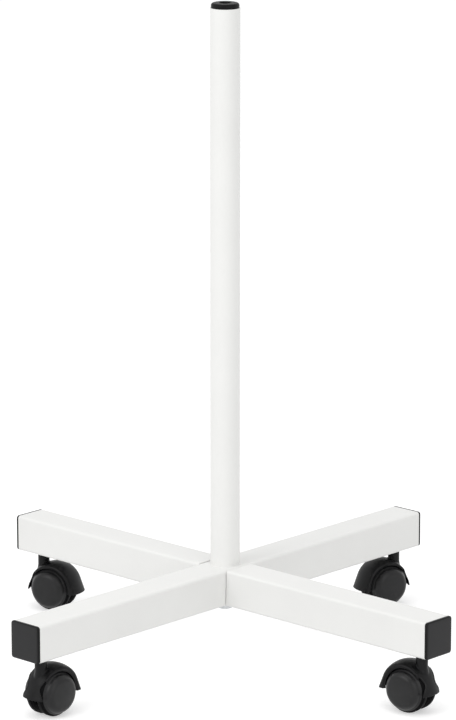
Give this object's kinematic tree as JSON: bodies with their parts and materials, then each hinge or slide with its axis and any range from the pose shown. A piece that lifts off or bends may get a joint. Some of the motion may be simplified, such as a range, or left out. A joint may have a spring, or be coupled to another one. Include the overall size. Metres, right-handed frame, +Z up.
{
  "type": "rolling pedestal stand",
  "caption": "Rolling pedestal stand: a white round pole with a black socket bush on a flat cross of half-lapped square tubes with capped ends and swivelling twin-wheel castors.",
  "frame": {"origin": "on the floor under the pole's axis", "axes": "+Z up along the pole; +Y along the upper rail to its back right end; +X along the lower rail to its front right end"},
  "size_m": [0.608, 0.608, 0.7173],
  "materials": {
    "white_powder_coat": "smooth satin white powder coat on steel tube",
    "black_cap_plastic": "fine-grained moulded black polyethylene",
    "black_bush_plastic": "moulded black nylon, slightly satin",
    "black_hood_plastic": "moulded black nylon with a fine satin grain",
    "black_wheel_plastic": "smooth black nylon, half gloss and lightly scuffed on the tread",
    "black_steel": "blackened turned steel",
    "zinc_steel": "bright zinc plated steel"
  },
  "bodies": {
    "stand": {"pole": "white_powder_coat", "pole_bush": "black_bush_plastic", "pole_insert": "zinc_steel", "rail_upper": "white_powder_coat", "rail_lower": "white_powder_coat", "clamp_bolt": "zinc_steel", "clamp_washer": "zinc_steel", "rail_cap_front_left": "black_cap_plastic", "rail_cap_front_right": "black_cap_plastic", "rail_cap_back_left": "black_cap_plastic", "rail_cap_back_right": "black_cap_plastic", "insert_nut_front_left": "zinc_steel", "insert_nut_front_right": "zinc_steel", "insert_nut_back_left": "zinc_steel", "insert_nut_back_right": "zinc_steel", "stem_front_left": "black_steel", "stem_front_right": "black_steel", "stem_back_left": "black_steel", "stem_back_right": "black_steel", "grip_ring_front_left": "zinc_steel", "grip_ring_front_right": "zinc_steel", "grip_ring_back_left": "zinc_steel", "grip_ring_back_right": "zinc_steel"},
    "castor_front_left": {"hood_front_left": "black_hood_plastic", "axle_front_left": "zinc_steel"},
    "wheel_a_front_left": {"wheel_a_front_left": "black_wheel_plastic"},
    "wheel_b_front_left": {"wheel_b_front_left": "black_wheel_plastic"},
    "castor_front_right": {"hood_front_right": "black_hood_plastic", "axle_front_right": "zinc_steel"},
    "wheel_a_front_right": {"wheel_a_front_right": "black_wheel_plastic"},
    "wheel_b_front_right": {"wheel_b_front_right": "black_wheel_plastic"},
    "castor_back_left": {"hood_back_left": "black_hood_plastic", "axle_back_left": "zinc_steel"},
    "wheel_a_back_left": {"wheel_a_back_left": "black_wheel_plastic"},
    "wheel_b_back_left": {"wheel_b_back_left": "black_wheel_plastic"},
    "castor_back_right": {"hood_back_right": "black_hood_plastic", "axle_back_right": "zinc_steel"},
    "wheel_a_back_right": {"wheel_a_back_right": "black_wheel_plastic"},
    "wheel_b_back_right": {"wheel_b_back_right": "black_wheel_plastic"}
  },
  "joints": [
    {"name": "swivel_front_left", "type": "hinge", "parent": "stand", "child": "castor_front_left", "pos_m": [0, -0.28, 0.066], "axis": [0, 0, 1], "continuous": true},
    {"name": "roll_a_front_left", "type": "hinge", "parent": "castor_front_left", "child": "wheel_a_front_left", "pos_m": [0, -0.2665, 0.025], "axis": [-1, 0, 0], "continuous": true},
    {"name": "roll_b_front_left", "type": "hinge", "parent": "castor_front_left", "child": "wheel_b_front_left", "pos_m": [0, -0.2665, 0.025], "axis": [-1, 0, 0], "continuous": true},
    {"name": "swivel_front_right", "type": "hinge", "parent": "stand", "child": "castor_front_right", "pos_m": [0.28, 0, 0.066], "axis": [0, 0, 1], "continuous": true},
    {"name": "roll_a_front_right", "type": "hinge", "parent": "castor_front_right", "child": "wheel_a_front_right", "pos_m": [0.26655, -0.00118, 0.025], "axis": [0.0872, -0.9962, 0], "continuous": true},
    {"name": "roll_b_front_right", "type": "hinge", "parent": "castor_front_right", "child": "wheel_b_front_right", "pos_m": [0.26655, -0.00118, 0.025], "axis": [0.0872, -0.9962, 0], "continuous": true},
    {"name": "swivel_back_left", "type": "hinge", "parent": "stand", "child": "castor_back_left", "pos_m": [-0.28, 0, 0.066], "axis": [0, 0, 1], "continuous": true},
    {"name": "roll_a_back_left", "type": "hinge", "parent": "castor_back_left", "child": "wheel_a_back_left", "pos_m": [-0.26696, 0.00349, 0.025], "axis": [-0.2588, 0.9659, 0], "continuous": true},
    {"name": "roll_b_back_left", "type": "hinge", "parent": "castor_back_left", "child": "wheel_b_back_left", "pos_m": [-0.26696, 0.00349, 0.025], "axis": [-0.2588, 0.9659, 0], "continuous": true},
    {"name": "swivel_back_right", "type": "hinge", "parent": "stand", "child": "castor_back_right", "pos_m": [0, 0.28, 0.066], "axis": [0, 0, 1], "continuous": true},
    {"name": "roll_a_back_right", "type": "hinge", "parent": "castor_back_right", "child": "wheel_a_back_right", "pos_m": [-0.00395, 0.26709, 0.025], "axis": [0.9563, -0.2924, 0], "continuous": true},
    {"name": "roll_b_back_right", "type": "hinge", "parent": "castor_back_right", "child": "wheel_b_back_right", "pos_m": [-0.00395, 0.26709, 0.025], "axis": [0.9563, -0.2924, 0], "continuous": true}
  ]
}
